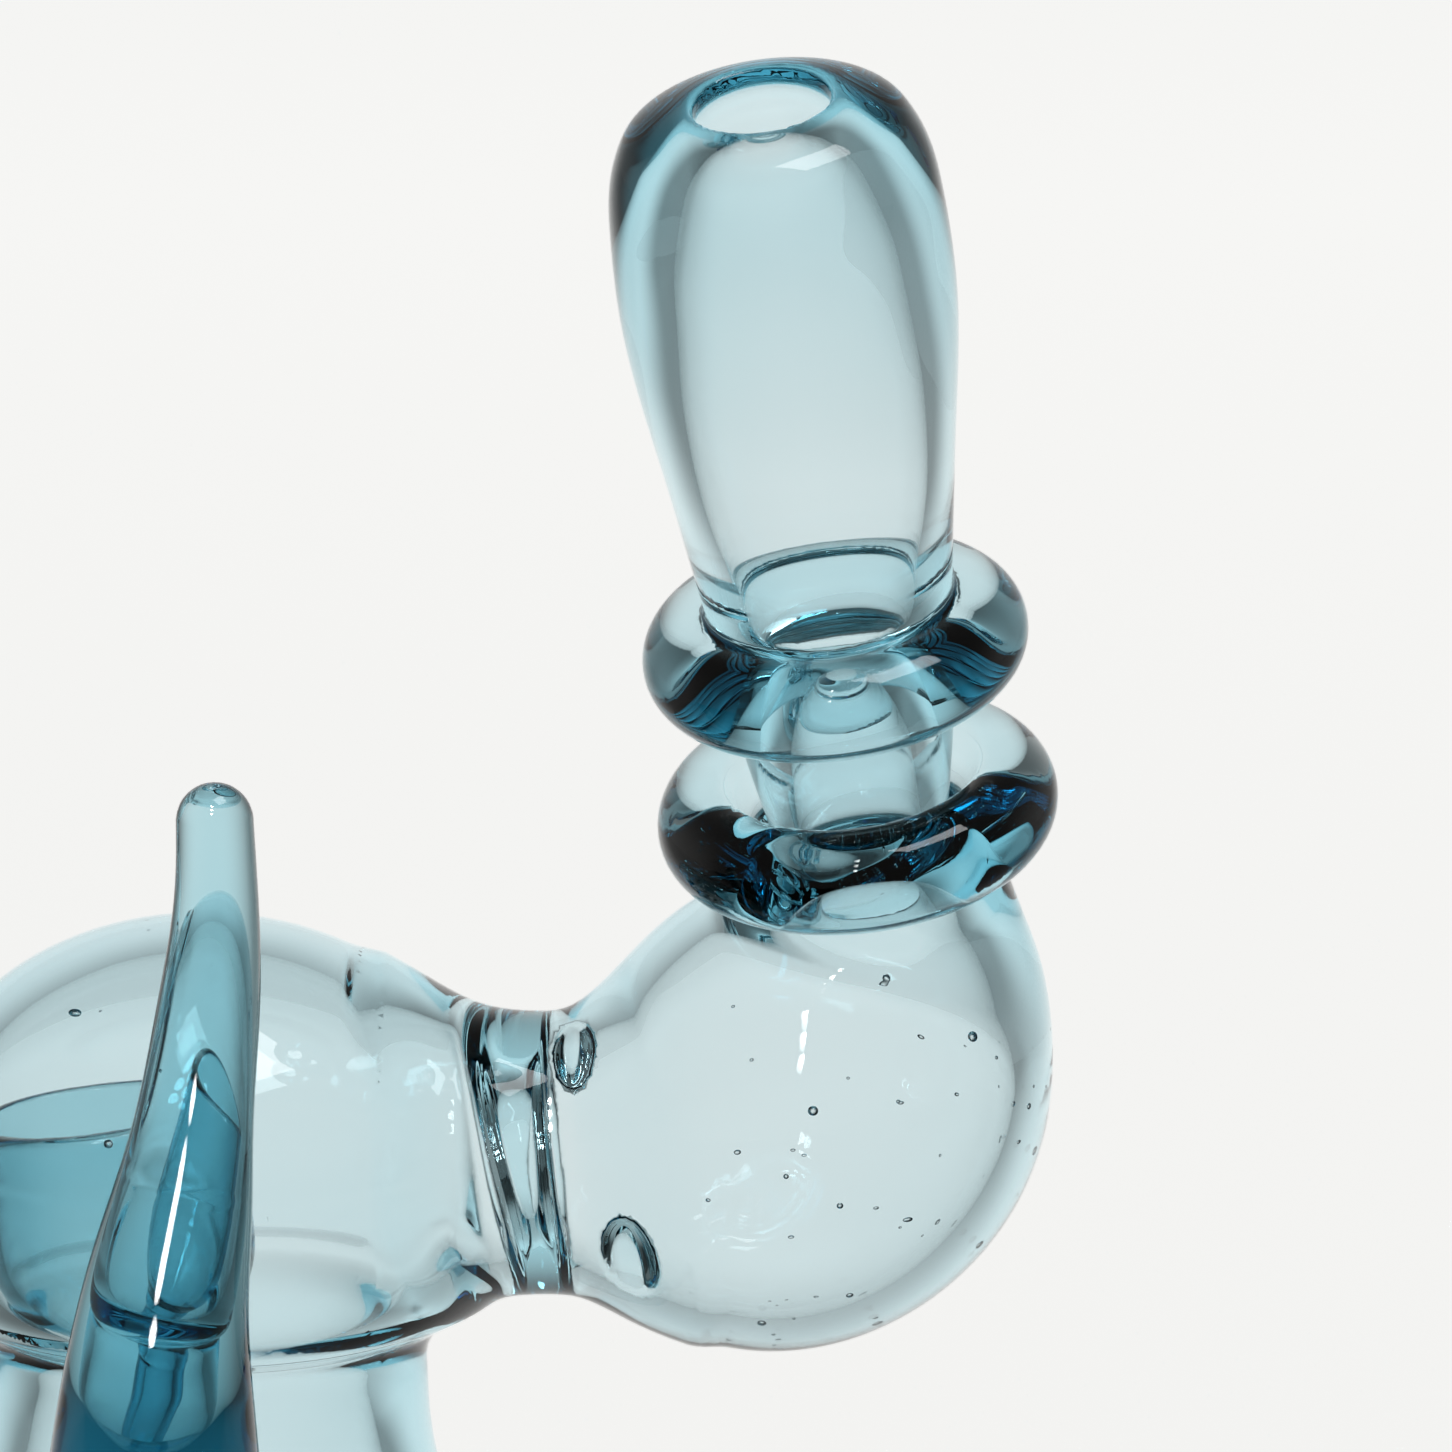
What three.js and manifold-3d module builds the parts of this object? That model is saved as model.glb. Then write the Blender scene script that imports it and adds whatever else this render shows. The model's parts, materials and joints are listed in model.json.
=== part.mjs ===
// A hand-blown glass S-bend airlock. Gas enters at the stem, rises through the riser into the inlet bulb,
// is pushed through the waist into the outlet bulb and leaves by the mouth tube, which plugs into a socket.
// Millimetres, +Z up. The origin is on the stem's axis, level with the top face of the bung that holds it.
// +X runs from the inlet bulb to the outlet bulb. The horn stands on the -Y side, where the user is.
import * as THREE from "three";
import { mergeVertices } from "three/addons/utils/BufferGeometryUtils.js";
import Module from "manifold-3d";

const wasm = await Module();
wasm.setup();

// ---- Driving dimensions ----
const SEAM = 0.3; // gap round a weld or a socket whose faces aren't flat
const FACETS = 22; // round a turned section
const WAIST_Z = 54; // height of the waist's axis

const STEM = { bottom: -28, top: 6, endRadius: 4.6, topRadius: 7, bore: 2.6 };
const CHAMBER = { floor: 10, belly: 19.2, bellyZ: 22, groove: 16.1, grooveZ: 36, wall: 3.3 };
const INLET = { z: WAIST_Z + 1.9, radius: 20.4, height: 15.1, wall: 3.2 };
const OUTLET = { x: 43.2, z: WAIST_Z + 3.5, long: 18.9, short: 16.6, deep: 17.5, tilt: 45, wall: 2.6 };
const WAIST = { radius: 10.2, x: 24.3, bore: 4.6 };

const BULB_FOOT_Z = 42; // where the inlet bulb is welded to the lower chamber
const INLET_WELD_X = 17.5;
const OUTLET_WELD_X = 31;
const NECK_WELD = -6; // along the leaning axis, from the socket's centre

const RISER = { radius: 4.4, bore: 2.6, x: -4.4, neckZ: 37 };
const CUP = { rim: 9.5, wall: 1.9, x: -7, z: WAIST_Z + 3.5 };

const SOCKET = new THREE.Vector3(47, -4, WAIST_Z + 27.6); // the middle of the socket's collar
const LEAN_BACK = THREE.MathUtils.degToRad(7.4); // towards -X
const LEAN_FORWARD = THREE.MathUtils.degToRad(14.7); // towards -Y
const COLLAR = { ring: 10.6, thick: 3.8, high: 3.8 };
const GRIP = { ring: 10, thick: 3.8, high: 3.6, at: 13.5 };
const NECK = { radius: 9.6, well: 8.6, seatTop: 6.6, throat: 5.8 };
const PLUG = { tip: 5.2, seatTop: 6.2, shoulder: 7.6, from: -7, to: 10.5, bore: 4 };
const MOUTH = { foot: 8.4, bulge: 12.15, bore: 5, top: 56.4, lip: 47.5 };

// ---- Materials ----
const paleGlass = new THREE.MeshStandardMaterial({ color: 0xbfd8de, roughness: 0.04, metalness: 0 });
const tealGlass = new THREE.MeshStandardMaterial({ color: 0x2f8ca3, roughness: 0.04, metalness: 0 });

// ---- Helpers: a lathe turns about its own Y axis, so each piece says which way that axis is laid ----
const upright = new THREE.Matrix4().makeRotationX(Math.PI / 2);
const alongX = new THREE.Matrix4().makeTranslation(0, 0, WAIST_Z)
  .multiply(new THREE.Matrix4().makeRotationZ(-Math.PI / 2));
const leanAxis = new THREE.Vector3(-Math.tan(LEAN_BACK), -Math.tan(LEAN_FORWARD), 1).normalize();
const leaning = new THREE.Matrix4()
  .makeRotationFromQuaternion(new THREE.Quaternion().setFromUnitVectors(new THREE.Vector3(0, 0, 1), leanAxis))
  .setPosition(SOCKET)
  .multiply(upright);

function toSolid(geometry) {
  const bare = geometry.clone();
  bare.deleteAttribute("normal");
  bare.deleteAttribute("uv");
  const merged = mergeVertices(bare, 1e-4);
  return new wasm.Manifold(
    new wasm.Mesh({
      numProp: 3,
      vertProperties: new Float32Array(merged.attributes.position.array),
      triVerts: new Uint32Array(merged.index.array),
    }),
  );
}

function toGeometry(solid) {
  const mesh = solid.getMesh();
  const geometry = new THREE.BufferGeometry();
  geometry.setAttribute("position", new THREE.BufferAttribute(mesh.vertProperties, 3));
  geometry.setIndex(new THREE.BufferAttribute(mesh.triVerts, 1));
  geometry.computeVertexNormals();
  return geometry;
}

// A closed lathe profile of [radius, height] points, outside going up.
function lathe(profile, facets = FACETS) {
  return new THREE.LatheGeometry(profile.map(([r, h]) => new THREE.Vector2(Math.max(r, 0), h)), facets);
}

function turned(profile, axis) {
  return toSolid(lathe(profile).applyMatrix4(axis));
}

// A plug: the outline given, closed on the axis at both ends.
function filled(outline, axis) {
  return turned([[0, outline[0][1]], ...outline, [0, outline[outline.length - 1][1]]], axis);
}

// A tube: outside and bore both go up.
function tube(outside, bore, axis) {
  return turned([...outside, ...bore.slice().reverse(), outside[0]], axis);
}

function smooth(points, steps) {
  const curve = new THREE.SplineCurve(points.map(([r, h]) => new THREE.Vector2(r, h)));
  return curve.getPoints(steps).map((p) => [p.x, p.y]);
}

function grown(outline, by) {
  return outline.map(([r, h]) => [r + by, h]);
}

// The inlet bulb's form, with its skin moved in by a wall's thickness where asked.
function inletBall(inset = 0) {
  const form = new THREE.SphereGeometry(1, FACETS, 12).rotateX(Math.PI / 2);
  form.scale(INLET.radius - inset, INLET.radius - inset, INLET.height - inset);
  return toSolid(form.translate(0, 0, INLET.z));
}

// The outlet bulb's form: longest along the slant from the waist up to the neck.
function outletBall(inset = 0) {
  const form = new THREE.SphereGeometry(1, FACETS, 12);
  form.scale(OUTLET.long - inset, OUTLET.deep - inset, OUTLET.short - inset);
  form.rotateY(-THREE.MathUtils.degToRad(OUTLET.tilt));
  return toSolid(form.translate(OUTLET.x, 0, OUTLET.z));
}

function box(low, high) {
  const size = high.map((h, i) => h - low[i]);
  const middle = high.map((h, i) => (h + low[i]) / 2);
  return toSolid(new THREE.BoxGeometry(...size).translate(...middle));
}

// A turned piece bent so that its axis follows a route; heights run from 0 to 1 along it.
function bent(profile, route, facets) {
  const geometry = lathe(profile, facets);
  const at = geometry.attributes.position;
  const across = new THREE.Vector3(1, 0, 0);
  for (let i = 0; i < at.count; i++) {
    const share = THREE.MathUtils.clamp(at.getY(i), 0, 1);
    const ahead = route.getTangentAt(share);
    const side = across.clone().addScaledVector(ahead, -across.dot(ahead)).normalize();
    const depth = side.clone().cross(ahead);
    const p = route.getPointAt(share).addScaledVector(side, at.getX(i)).addScaledVector(depth, at.getZ(i));
    at.setXYZ(i, p.x, p.y, p.z);
  }
  return toSolid(geometry);
}

// ---- The blown body: its outside and its hollow, cut apart where its sections are welded ----
const chamberOutside = smooth(
  [
    [STEM.topRadius, STEM.top],
    [14.4, 9],
    [CHAMBER.belly - 0.6, 15.5],
    [CHAMBER.belly, CHAMBER.bellyZ],
    [17.4, 29.5],
    [CHAMBER.groove, CHAMBER.grooveZ],
    [CHAMBER.groove, BULB_FOOT_Z],
  ],
  12,
);
const chamberHollow = smooth(
  [
    [RISER.radius + 1.4, CHAMBER.floor],
    [11.4, 12],
    [15.2, 17],
    [CHAMBER.belly - CHAMBER.wall, CHAMBER.bellyZ],
    [14.1, 29.5],
    [CHAMBER.groove - CHAMBER.wall, CHAMBER.grooveZ],
    [CHAMBER.groove - CHAMBER.wall, BULB_FOOT_Z],
  ],
  12,
);
// The inlet bulb's lower half is fuller than a ball and tucks in sharply over the lower chamber.
const footOutside = [[16.8, 43.4], [18.3, 44.3], [19.5, 46], [20, 49], [19.6, 53]];
const footHollow = [[13.3, 43], [14.6, 45], [16, 47.5], [16.4, 51], [15.6, 54]];
const waistOutside = smooth(
  [
    [13.6, 13],
    [11.6, INLET_WELD_X],
    [10.5, 21],
    [WAIST.radius, WAIST.x],
    [10.4, 27],
    [11.8, OUTLET_WELD_X],
    [13, 35],
  ],
  9,
);
const waistHollow = smooth(
  [
    [9.6, 12],
    [8.8, INLET_WELD_X],
    [7.9, 20],
    [5.2, 21.8],
    [WAIST.bore, 23.2],
    [5.2, 24.4],
    [7.9, 26],
    [9.2, OUTLET_WELD_X],
    [10.5, 36],
  ],
  14,
);
const neckOutside = smooth(
  [
    [9, -24],
    [11.2, -17],
    [11.3, -13.5],
    [10.7, -10],
    [9.9, NECK_WELD],
    [NECK.radius, -3.6],
    [NECK.radius, 1.6],
  ],
  9,
);
const neckHollow = smooth(
  [
    [8.4, -20],
    [8, -13],
    [6.2, -8.6],
    [NECK.throat, NECK_WELD],
    [NECK.seatTop, -1.2],
    [7.8, 0],
    [NECK.well, 1.8],
  ],
  12,
);

const outside = filled([...chamberOutside, ...footOutside], upright)
  .add(inletBall())
  .add(filled(waistOutside, alongX))
  .add(outletBall())
  .add(filled(neckOutside, leaning));
const hollow = filled([...chamberHollow, ...footHollow], upright)
  .add(inletBall(INLET.wall))
  .add(filled(waistHollow, alongX))
  .add(outletBall(OUTLET.wall))
  .add(filled(neckHollow, leaning))
  .add(filled([[STEM.bore, STEM.top - 1], [STEM.bore, CHAMBER.floor + 1]], upright));
const body = outside.subtract(hollow);

const REACH = 60; // past the body on every side
const aboveNeckWeld = filled([[16, NECK_WELD], [16, 12]], leaning);

function stemTube() {
  const { bottom, top, endRadius, topRadius, bore } = STEM;
  const outline = smooth([[endRadius, bottom], [5.1, -14], [5.7, -2], [6.4, 4], [topRadius, top]], 8);
  return tube(outline, [[bore, bottom], [bore, top]], upright);
}

function lowerChamber() {
  return body.intersect(box([-REACH, -REACH, STEM.top], [OUTLET_WELD_X - 4, REACH, BULB_FOOT_Z]));
}

function inletBulb() {
  return body.intersect(box([-REACH, -REACH, BULB_FOOT_Z], [INLET_WELD_X, REACH, REACH + WAIST_Z]));
}

function waistTube() {
  return body.intersect(box([INLET_WELD_X, -REACH, BULB_FOOT_Z], [OUTLET_WELD_X, REACH, REACH + WAIST_Z]));
}

function outletBulb() {
  const beyond = box([OUTLET_WELD_X, -REACH, 0], [REACH + OUTLET.x, REACH, REACH + WAIST_Z]);
  return body.intersect(beyond).subtract(aboveNeckWeld);
}

function socketNeck() {
  return body.intersect(aboveNeckWeld);
}

// ---- The riser inside the lower chamber, and the cup on its top ----
const riserRoute = new THREE.CatmullRomCurve3([
  new THREE.Vector3(0, 0, CHAMBER.floor),
  new THREE.Vector3(0, 0, 15),
  new THREE.Vector3(-2.2, 0, 24),
  new THREE.Vector3(RISER.x, 0, 32),
  new THREE.Vector3(RISER.x, 0, RISER.neckZ),
]);

function riserTube() {
  const { radius, bore } = RISER;
  const outline = [0, 0.2, 0.4, 0.6, 0.8, 1].map((share) => [radius, share]);
  return bent([...outline, ...grown(outline, bore - radius).reverse(), outline[0]], riserRoute, 16);
}

function riserCup() {
  const { rim, wall, x, z } = CUP;
  const outline = smooth(
    [[RISER.radius, RISER.neckZ + SEAM], [4.9, 39], [6.4, 41], [7.9, 43], [9.2, 45.5], [9.7, 51], [rim, z]],
    9,
  );
  const inner = smooth(
    [
      [RISER.bore, RISER.neckZ + SEAM],
      [2.9, 39.2],
      [4.4, 41.6],
      [5.8, 43.8],
      [6.9, 46],
      [7.6, 51],
      [rim - wall, z],
    ],
    9,
  );
  const lean = new THREE.Matrix4().makeShear(0, 0, 0, 0, (x - RISER.x) / (z - RISER.neckZ), 0);
  const foot = new THREE.Matrix4().makeTranslation(0, 0, -RISER.neckZ);
  const place = new THREE.Matrix4().makeTranslation(RISER.x, 0, RISER.neckZ);
  return tube(outline, inner, place.multiply(lean).multiply(foot).multiply(upright));
}

// ---- The horn at the front: a solid taper from the lower chamber, curling up past the inlet bulb ----
const hornRoute = new THREE.CatmullRomCurve3([
  new THREE.Vector3(-2, -12, WAIST_Z - 33),
  new THREE.Vector3(-2.4, -22.5, WAIST_Z - 28),
  new THREE.Vector3(-2.6, -30, WAIST_Z - 20.5),
  new THREE.Vector3(-2.3, -33, WAIST_Z - 12),
  new THREE.Vector3(-1.7, -31.4, WAIST_Z - 3.6),
  new THREE.Vector3(-0.5, -28.4, WAIST_Z + 3.6),
  new THREE.Vector3(0.6, -25.9, WAIST_Z + 10.4),
  new THREE.Vector3(1.5, -24, WAIST_Z + 17.4),
  new THREE.Vector3(1.9, -22.8, WAIST_Z + 24),
  new THREE.Vector3(1.8, -22, WAIST_Z + 32.2),
]);

function horn() {
  const tipRadius = 2.85;
  const sides = smooth(
    [[7.9, 0], [8, 0.2], [7.6, 0.36], [6.4, 0.49], [5.4, 0.59], [4.3, 0.7], [3.5, 0.82], [2.9, 0.95]],
    14,
  );
  const tip = [10, 40, 65, 80].map((a) => {
    const angle = THREE.MathUtils.degToRad(a);
    return [tipRadius * Math.cos(angle), 0.957 + 0.042 * Math.sin(angle)];
  });
  const whole = bent([[0, 0], ...sides, ...tip, [0, 1]], hornRoute, 16);
  return whole.subtract(filled(grown(chamberOutside, SEAM), upright));
}

// ---- Collars, plug and mouth tube, all turned about the leaning axis ----
function collar({ ring, thick, high, at = 0 }, hole) {
  const corners = 14;
  const section = Array.from({ length: corners + 1 }, (_, i) => {
    const angle = (i / corners - 0.5) * 2 * Math.PI;
    return [ring + thick * Math.cos(angle), at + high * Math.sin(angle)];
  });
  return turned(section, leaning).subtract(filled([[hole, at - 5], [hole, at + 5]], leaning));
}

function plug() {
  const { tip, seatTop, shoulder, from, to, bore } = PLUG;
  const outline = smooth([[tip, from], [seatTop, -1.2], [7, 3], [shoulder, 6.6], [shoulder + 0.4, to]], 8);
  return tube(outline, [[bore, from], [bore, to]], leaning);
}

function mouthBarrel() {
  const { foot, bulge, lip } = MOUTH;
  const outline = smooth(
    [[foot - 0.4, PLUG.to], [foot, 14], [9.2, 20], [10.9, 30], [bulge, 40], [11.9, lip]],
    9,
  );
  const bore = smooth(
    [[PLUG.bore, PLUG.to], [4.4, 13.4], [5.6, 15.6], [6.5, 19], [7.9, 29], [8.1, 38], [7.1, lip]],
    9,
  );
  return tube(outline, bore, leaning);
}

function mouthLip() {
  const { lip, top, bore } = MOUTH;
  const outline = smooth(
    [[11.9, lip], [11.5, 50.6], [10.5, 53.4], [8.9, 55.5], [7.1, top], [5.9, 56], [bore, 54.8]],
    10,
  );
  const inner = smooth([[7.1, lip], [6, 51], [bore, 54.8]], 3);
  return tube(outline, inner.slice(0, -1), leaning);
}

// ---- Assembly ----
const airlock = new THREE.Group();

function add(name, solid, material) {
  const mesh = new THREE.Mesh(toGeometry(solid), material);
  mesh.name = name;
  airlock.add(mesh);
}

add("stem_tube", stemTube(), paleGlass);
add("lower_chamber", lowerChamber(), paleGlass);
add("riser_tube", riserTube(), tealGlass);
add("riser_cup", riserCup(), tealGlass);
add("inlet_bulb", inletBulb(), paleGlass);
add("waist_tube", waistTube(), paleGlass);
add("outlet_bulb", outletBulb(), paleGlass);
add("horn", horn(), tealGlass);
add("socket_neck", socketNeck(), paleGlass);
add("socket_collar", collar(COLLAR, NECK.radius + 2 * SEAM), paleGlass);
add("plug", plug(), paleGlass);
add("grip_collar", collar(GRIP, MOUTH.foot + 2 * SEAM), paleGlass);
add("mouth_barrel", mouthBarrel(), paleGlass);
add("mouth_lip", mouthLip(), paleGlass);

export default airlock;
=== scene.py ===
"""A hand-blown glass S-bend airlock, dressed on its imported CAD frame."""

import json
import math

import bpy
import numpy as np
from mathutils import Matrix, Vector


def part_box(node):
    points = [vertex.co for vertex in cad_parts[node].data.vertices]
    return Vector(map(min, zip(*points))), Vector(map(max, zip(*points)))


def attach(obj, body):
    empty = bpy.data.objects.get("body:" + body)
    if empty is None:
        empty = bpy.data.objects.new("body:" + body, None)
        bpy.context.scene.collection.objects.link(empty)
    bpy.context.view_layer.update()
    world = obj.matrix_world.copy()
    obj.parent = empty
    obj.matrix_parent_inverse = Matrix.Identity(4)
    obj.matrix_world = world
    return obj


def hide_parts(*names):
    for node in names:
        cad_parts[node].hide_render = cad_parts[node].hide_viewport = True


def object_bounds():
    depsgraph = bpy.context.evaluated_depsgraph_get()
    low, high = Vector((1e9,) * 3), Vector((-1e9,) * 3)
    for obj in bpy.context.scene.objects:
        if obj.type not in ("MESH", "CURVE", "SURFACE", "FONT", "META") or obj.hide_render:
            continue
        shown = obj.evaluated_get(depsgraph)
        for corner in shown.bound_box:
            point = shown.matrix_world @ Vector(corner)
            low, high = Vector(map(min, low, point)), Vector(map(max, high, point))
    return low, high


bl_info = {
    "name": "Glass S-Bend Airlock",
    "version": (1, 0, 0),
    "blender": (4, 5, 0),
    "location": "View3D > Sidebar > Airlock",
    "description": "Builds a hand-blown glass airlock, piece by piece, on its CAD frame",
    "category": "Object",
}

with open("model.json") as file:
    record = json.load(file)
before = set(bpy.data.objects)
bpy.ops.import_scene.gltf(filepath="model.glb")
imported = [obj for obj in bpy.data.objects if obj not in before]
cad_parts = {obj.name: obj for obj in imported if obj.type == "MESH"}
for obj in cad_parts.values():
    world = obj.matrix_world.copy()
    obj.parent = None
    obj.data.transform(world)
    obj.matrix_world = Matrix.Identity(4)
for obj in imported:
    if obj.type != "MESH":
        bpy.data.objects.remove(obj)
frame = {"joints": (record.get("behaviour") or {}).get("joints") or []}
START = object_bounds()

MM = 0.001
ROUTE_MARKS = 60  # places tried first when looking for the nearest point of a route
SETTLE_STEPS = 4  # rounds in which a nearest point, or a skin's vertices, settle onto their form


# ---- Forms: each one gives the distance to its skin in millimetres, below zero inside ----
def smooth_union(a, b, fillet):
    """Joins two forms, with a fillet of that width along the join."""
    share = np.clip(0.5 + 0.5 * (b - a) / fillet, 0.0, 1.0)
    return b * (1 - share) + a * share - fillet * share * (1 - share)


def smooth_overlap(a, b, fillet):
    """Keeps what lies in both forms, with its edge rounded by that width."""
    return -smooth_union(-a, -b, fillet)


class Spline:
    """A smooth curve through given points, with its slope and bend at any place along it."""

    def __init__(self, at, values):
        self.x = np.array(at, float)
        self.y = np.array(values, float)
        n = len(self.x)
        gap = np.diff(self.x)
        rise = (np.diff(self.y, axis=0).T / gap).T
        rows = np.eye(n)
        right = np.zeros_like(self.y)
        for k in range(1, n - 1):
            rows[k, k - 1 : k + 2] = gap[k - 1], 2 * (gap[k - 1] + gap[k]), gap[k]
            right[k] = 6 * (rise[k] - rise[k - 1])
        self.bend = np.linalg.solve(rows, right)

    def at(self, place):
        """Value, slope and bend at a place, or at many places."""
        x = np.clip(place, self.x[0], self.x[-1])
        i = np.clip(np.searchsorted(self.x, x) - 1, 0, len(self.x) - 2)
        gap = self.x[i + 1] - self.x[i]
        a = (self.x[i + 1] - x) / gap
        b = (x - self.x[i]) / gap
        if self.y.ndim > 1:
            gap, a, b = gap[:, None], a[:, None], b[:, None]
        low, high = self.y[i], self.y[i + 1]
        bend0, bend1 = self.bend[i], self.bend[i + 1]
        value = a * low + b * high + ((a**3 - a) * bend0 + (b**3 - b) * bend1) * gap * gap / 6
        slope = (high - low) / gap + ((3 * b * b - 1) * bend1 - (3 * a * a - 1) * bend0) * gap / 6
        return value, slope, a * bend0 + b * bend1


class Profile(Spline):
    """A radius that changes smoothly along an axis, through given (height, radius) points."""

    def __init__(self, points):
        super().__init__([p[0] for p in points], [p[1] for p in points])


class Axis:
    """A line that turned pieces are turned about: a point on it and its direction."""

    def __init__(self, origin, direction):
        self.origin = np.array(origin, float)
        self.direction = np.array(direction, float) / np.linalg.norm(direction)

    def split(self, p):
        """Height along the axis and distance from it."""
        d = p - self.origin
        height = d @ self.direction
        away = d - height[:, None] * self.direction
        return height, np.sqrt(np.maximum((away * away).sum(1), 1e-12))


def turned(p, axis, profile, low=None, high=None, edge=0.8):
    """A turned form, cut square at low and high with its edges rounded."""
    height, away = axis.split(p)
    radius, slope, _ = profile.at(height)
    slope = np.where((height > profile.x[0]) & (height < profile.x[-1]), slope, 0)
    skin = (away - radius) / np.sqrt(1 + slope * slope)
    if low is not None:
        skin = smooth_overlap(skin, low - height, edge)
    if high is not None:
        skin = smooth_overlap(skin, height - high, edge)
    return skin


def ball(p, centre, radii, frame_axes=None):
    """A ball stretched by different amounts along three axes."""
    d = p - np.array(centre, float)
    if frame_axes is not None:
        d = d @ np.array(frame_axes, float).T
    r = np.array(radii, float)
    outer = np.linalg.norm(d / r, axis=1)
    inner = np.maximum(np.linalg.norm(d / (r * r), axis=1), 1e-9)
    return outer * (outer - 1) / inner


def ring(p, axis, at, radius, thick, high):
    """A bead of oval section that runs round an axis."""
    height, away = axis.split(p)
    a = (away - radius) / thick
    h = (height - at) / high
    size = np.sqrt(a * a + h * h)
    slope = np.sqrt((a / thick) ** 2 + (h / high) ** 2)
    return size * (size - 1) / np.maximum(slope, 1e-9)


class Route(Spline):
    """A smooth route through points in space, measured along its length."""

    def __init__(self, points):
        pts = np.array(points, float)
        length = np.concatenate([[0], np.cumsum(np.linalg.norm(np.diff(pts, axis=0), axis=1))])
        super().__init__(length / length[-1], pts)


def rod(p, route, radii):
    """A round rod along a route, its radius given by a profile over the route's share."""
    marks = np.linspace(0, 1, ROUTE_MARKS)
    points = route.at(marks)[0]
    best = np.full(len(p), 1e9)
    share = np.zeros(len(p))
    for mark, point in zip(marks, points):
        away = ((p - point) ** 2).sum(1)
        nearer = away < best
        best = np.where(nearer, away, best)
        share = np.where(nearer, mark, share)
    for _ in range(SETTLE_STEPS):
        value, slope, bend = route.at(share)
        d = value - p
        turn = (slope * slope).sum(1) + np.maximum((d * bend).sum(1), -0.5 * (slope * slope).sum(1))
        share = np.clip(share - (d * slope).sum(1) / turn, 0, 1)
    return np.linalg.norm(route.at(share)[0] - p, axis=1) - radii.at(share)[0]


def sway(p, length, amount, phase):
    """The slow waver of a hand-worked wall."""
    x, y, z = (p * (2 * math.pi / length)).T
    first = np.sin(x + 0.7 * z + phase)
    second = np.sin(1.3 * y - 0.8 * x + 2.1 * phase)
    third = np.sin(0.9 * z + 1.1 * y + 3.3 * phase)
    return amount * (first + second + third) / 3


# ---- Skins: a closed mesh wrapped round a form ----
def slope_of(form, p, step=0.06):
    """Which way the distance to the skin grows fastest."""
    grown = np.zeros_like(p)
    for k in range(3):
        shift = np.zeros(3)
        shift[k] = step
        grown[:, k] = (form(p + shift) - form(p - shift)) / (2 * step)
    return grown


def wrap(form, low, high, cell):
    """Vertices, four-sided faces and normals of the skin of a form inside a box."""
    axes = [np.arange(a, b + cell, cell) for a, b in zip(low, high)]
    nx, ny, nz = (len(a) for a in axes)
    values = np.empty((nx, ny, nz), np.float32)
    gy, gz = np.meshgrid(axes[1], axes[2], indexing="ij")
    flat = np.stack([np.zeros(gy.size), gy.ravel(), gz.ravel()], 1)
    for i in range(0, nx, 4):
        slab = np.concatenate([flat + (x, 0, 0) for x in axes[0][i : i + 4]])
        values[i : i + 4] = form(slab).reshape(-1, ny, nz)
    inside = values < 0
    count = np.zeros((nx - 1, ny - 1, nz - 1), np.int8)
    total = np.zeros((nx - 1, ny - 1, nz - 1, 3), np.float32)
    corner = (slice(0, -1), slice(1, None))
    for axis in range(3):
        others = [k for k in range(3) if k != axis]
        for a in (0, 1):
            for b in (0, 1):
                pick = [None] * 3
                pick[others[0]], pick[others[1]] = corner[a], corner[b]
                start = list(pick)
                end = list(pick)
                start[axis], end[axis] = corner[0], corner[1]
                v0 = values[tuple(start)]
                v1 = values[tuple(end)]
                crossed = (v0 < 0) != (v1 < 0)
                share = np.where(crossed, v0 / np.where(crossed, v0 - v1, 1), 0)
                count += crossed
                total[..., axis] += share
                total[..., others[0]] += crossed * a
                total[..., others[1]] += crossed * b
    active = count > 0
    index = np.full(active.shape, -1, np.int64)
    index[active] = np.arange(active.sum())
    where = np.argwhere(active)
    first = np.array([a[0] for a in axes])
    vertices = (where + total[active] / count[active][:, None]) * cell + first
    faces = []
    for axis in range(3):
        u, v = (axis + 1) % 3, (axis + 2) % 3
        start = [slice(None)] * 3
        end = [slice(None)] * 3
        start[axis], end[axis] = corner
        for k in (u, v):
            start[k] = end[k] = slice(1, -1)
        s0 = inside[tuple(start)]
        s1 = inside[tuple(end)]
        for rising in (False, True):
            at = np.argwhere((s0 != s1) & (s0 == rising))
            at[:, u] += 1
            at[:, v] += 1
            quad = []
            for du, dv in ((-1, -1), (0, -1), (0, 0), (-1, 0)):
                cellpos = at.copy()
                cellpos[:, u] += du
                cellpos[:, v] += dv
                quad.append(index[tuple(cellpos.T)])
            quad = np.stack(quad, 1)
            faces.append(quad if rising else quad[:, ::-1])
    faces = np.concatenate(faces)
    for _ in range(SETTLE_STEPS):
        grown = slope_of(form, vertices)
        step = form(vertices)[:, None] * grown / np.maximum((grown * grown).sum(1), 1e-6)[:, None]
        vertices = vertices - np.clip(step, -0.4 * cell, 0.4 * cell)
    normals = slope_of(form, vertices)
    normals /= np.maximum(np.linalg.norm(normals, axis=1), 1e-9)[:, None]
    return vertices, faces, normals


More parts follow.
